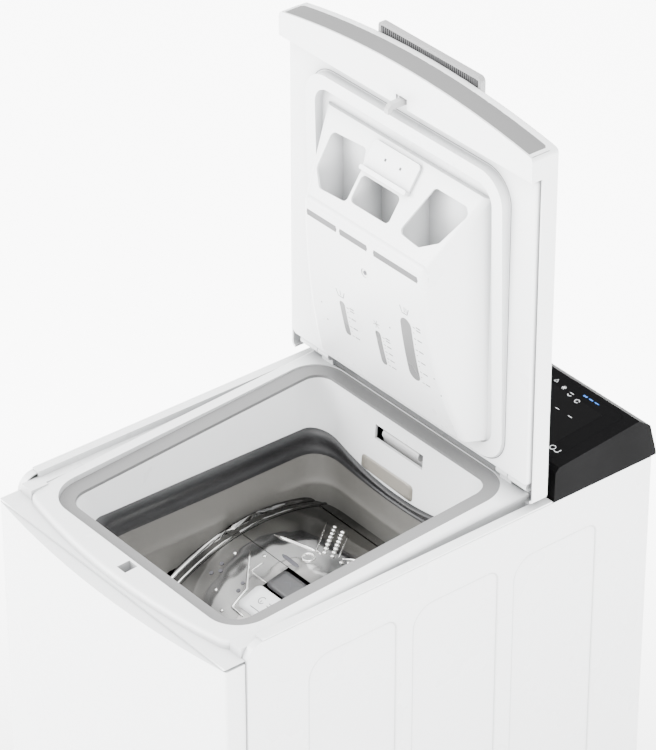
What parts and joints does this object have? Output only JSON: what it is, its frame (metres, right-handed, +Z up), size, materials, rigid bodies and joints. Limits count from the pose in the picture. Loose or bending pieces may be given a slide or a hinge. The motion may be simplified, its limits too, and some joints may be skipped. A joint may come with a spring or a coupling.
{
  "type": "top load washing machine",
  "caption": "Narrow top load washing machine with its bowed lid standing open, dispenser in the lid, horizontal steel drum below the loading throat and a dark control panel behind.",
  "frame": {"origin": "on the floor, under the middle of the machine", "axes": "+Z up, +X to the machine's right-hand side, +Y to its rear, where the control panel is"},
  "size_m": [0.403, 0.5946, 1.308],
  "materials": {
    "cabinet_steel": "white stoved enamel",
    "white_plastic": "white moulded plastic, semi-gloss",
    "grey_plastic": "light grey moulded plastic",
    "seal_rubber": "grey moulded rubber",
    "bellows_rubber": "black rubber with grey lower band",
    "dark_plastic": "black plastic",
    "panel_glass": "dark glass",
    "control_plastic": "dark grey plastic with a satin face",
    "window_plastic": "smoked clear plastic",
    "board": "green circuit board",
    "tub_plastic": "grey glass filled plastic",
    "black_plastic": "black plastic",
    "base_plastic": "grey plastic",
    "stainless": "polished stainless steel",
    "steel": "plain steel",
    "concrete": "grey cast weight",
    "motor_metal": "dark motor housing",
    "pulley_metal": "cast aluminium",
    "belt_rubber": "black rubber",
    "foot_rubber": "black rubber on a steel stud"
  },
  "bodies": {
    "cabinet": {"side_panel_left": "cabinet_steel", "side_panel_right": "cabinet_steel", "front_panel": "cabinet_steel", "kick_plate": "white_plastic", "filter_flap_pin": "grey_plastic", "base_tray": "base_plastic", "rear_panel": "cabinet_steel", "worktop": "white_plastic", "seal_ring": "seal_rubber", "inlet_nozzle": "grey_plastic", "bellows": "bellows_rubber", "hinge_brackets": "white_plastic", "lid_lock": "black_plastic", "frame_rails": "steel", "inlet_valve": "grey_plastic", "drain_outlet": "black_plastic", "cable_gland": "black_plastic", "drain_pump": "black_plastic", "panel_housing": "dark_plastic", "panel_fascia": "dark_plastic", "display_glass": "panel_glass", "control_board": "board", "suspension_struts": "steel"},
    "lid": {"lid_skin": "white_plastic", "lid_liner": "white_plastic", "lid_handle": "grey_plastic", "hinge_pins": "steel", "dispenser_box": "white_plastic", "level_windows": "window_plastic", "dispenser_screw": "steel", "lid_hook_pin": "steel"},
    "hook": {"lid_hook": "grey_plastic"},
    "softener_cap": {"softener_cap": "white_plastic"},
    "tub": {"tub_left": "tub_plastic", "tub_right": "tub_plastic", "tub_ears": "tub_plastic", "drum_bearings": "steel", "counterweights": "concrete", "heater": "steel", "motor": "motor_metal", "drive_belt": "belt_rubber"},
    "drum": {"drum_shell": "stainless", "drum_end_left": "stainless", "drum_end_right": "stainless", "drum_lifters": "tub_plastic", "drum_pulley": "pulley_metal", "drum_door_pins": "stainless"},
    "door_front": {"drum_door_front": "stainless"},
    "door_rear": {"drum_door_rear": "stainless"},
    "latch": {"drum_latch": "control_plastic"},
    "motor_pulley": {"motor_pulley": "steel"},
    "filter_flap": {"filter_flap": "white_plastic"},
    "filter_cap": {"filter_cap": "tub_plastic"},
    "foot_front_left": {"foot_front_left": "foot_rubber"},
    "foot_front_right": {"foot_front_right": "foot_rubber"},
    "foot_rear_left": {"foot_rear_left": "foot_rubber"},
    "foot_rear_right": {"foot_rear_right": "foot_rubber"},
    "programme_knob": {"programme_knob": "control_plastic"},
    "power_button": {"power_button": "control_plastic"},
    "start_button": {"start_button": "control_plastic"}
  },
  "joints": [
    {"name": "lid_hinge", "type": "hinge", "parent": "cabinet", "child": "lid", "pos_m": [0, 0.126, 0.874], "axis": [-1, 0, 0], "range_deg": [-90, 0]},
    {"name": "hook_pivot", "type": "hinge", "parent": "lid", "child": "hook", "pos_m": [0, 0.118, 1.259], "axis": [-1, 0, 0], "range_deg": [0, 5], "stiffness_Nm_per_rad": 0.4},
    {"name": "softener_cap_hinge", "type": "hinge", "parent": "lid", "child": "softener_cap", "pos_m": [0, 0.1071, 1.19621], "axis": [-1, 0, 0], "range_deg": [0, 70]},
    {"name": "tub_suspension", "type": "slide", "parent": "cabinet", "child": "tub", "axis": [0, 0, 1], "range_m": [-0.008, 0.008], "stiffness_N_per_m": 30000, "deforming": ["bellows", "suspension_struts"]},
    {"name": "drum_spin", "type": "hinge", "parent": "tub", "child": "drum", "pos_m": [0, 0.004, 0.491], "axis": [1, 0, 0], "range_deg": [-360, 0]},
    {"name": "motor_spin", "type": "hinge", "parent": "tub", "child": "motor_pulley", "pos_m": [0, 0.07, 0.15], "axis": [1, 0, 0], "range_deg": [-3600, 0]},
    {"name": "door_front_hinge", "type": "hinge", "parent": "drum", "child": "door_front", "pos_m": [0, -0.12283, 0.68046], "axis": [1, 0, 0], "range_deg": [0, 75]},
    {"name": "door_rear_hinge", "type": "hinge", "parent": "drum", "child": "door_rear", "pos_m": [0, 0.0737, 0.70809], "axis": [-1, 0, 0], "range_deg": [0, 75]},
    {"name": "latch_press", "type": "slide", "parent": "door_front", "child": "latch", "axis": [0, 0.2215, -0.9751], "range_m": [0, 0.003], "stiffness_N_per_m": 800},
    {"name": "programme_select", "type": "hinge", "parent": "cabinet", "child": "programme_knob", "pos_m": [-0.095, 0.21374, 0.89543], "axis": [0, -0.0969, 0.9953], "range_deg": [0, 330]},
    {"name": "power_press", "type": "slide", "parent": "cabinet", "child": "power_button", "axis": [0, 0.0969, -0.9953], "range_m": [0, 0.0015], "stiffness_N_per_m": 800},
    {"name": "start_press", "type": "slide", "parent": "cabinet", "child": "start_button", "axis": [0, 0.0969, -0.9953], "range_m": [0, 0.0015], "stiffness_N_per_m": 800},
    {"name": "filter_flap_hinge", "type": "hinge", "parent": "cabinet", "child": "filter_flap", "pos_m": [0.1, -0.28, 0.0225], "axis": [1, 0, 0], "range_deg": [0, 85]},
    {"name": "filter_cap_turn", "type": "hinge", "parent": "cabinet", "child": "filter_cap", "pos_m": [0.1, -0.245, 0.062], "axis": [0, -1, 0], "range_deg": [0, 90]},
    {"name": "foot_front_left_screw", "type": "slide", "parent": "cabinet", "child": "foot_front_left", "axis": [0, 0, -1], "range_m": [0, 0.015]},
    {"name": "foot_front_right_screw", "type": "slide", "parent": "cabinet", "child": "foot_front_right", "axis": [0, 0, -1], "range_m": [0, 0.015]},
    {"name": "foot_rear_left_screw", "type": "slide", "parent": "cabinet", "child": "foot_rear_left", "axis": [0, 0, -1], "range_m": [0, 0.015]},
    {"name": "foot_rear_right_screw", "type": "slide", "parent": "cabinet", "child": "foot_rear_right", "axis": [0, 0, -1], "range_m": [0, 0.015]}
  ],
  "couplings": [
    {"joint": "motor_spin", "follows": "drum_spin", "ratio": 10}
  ]
}
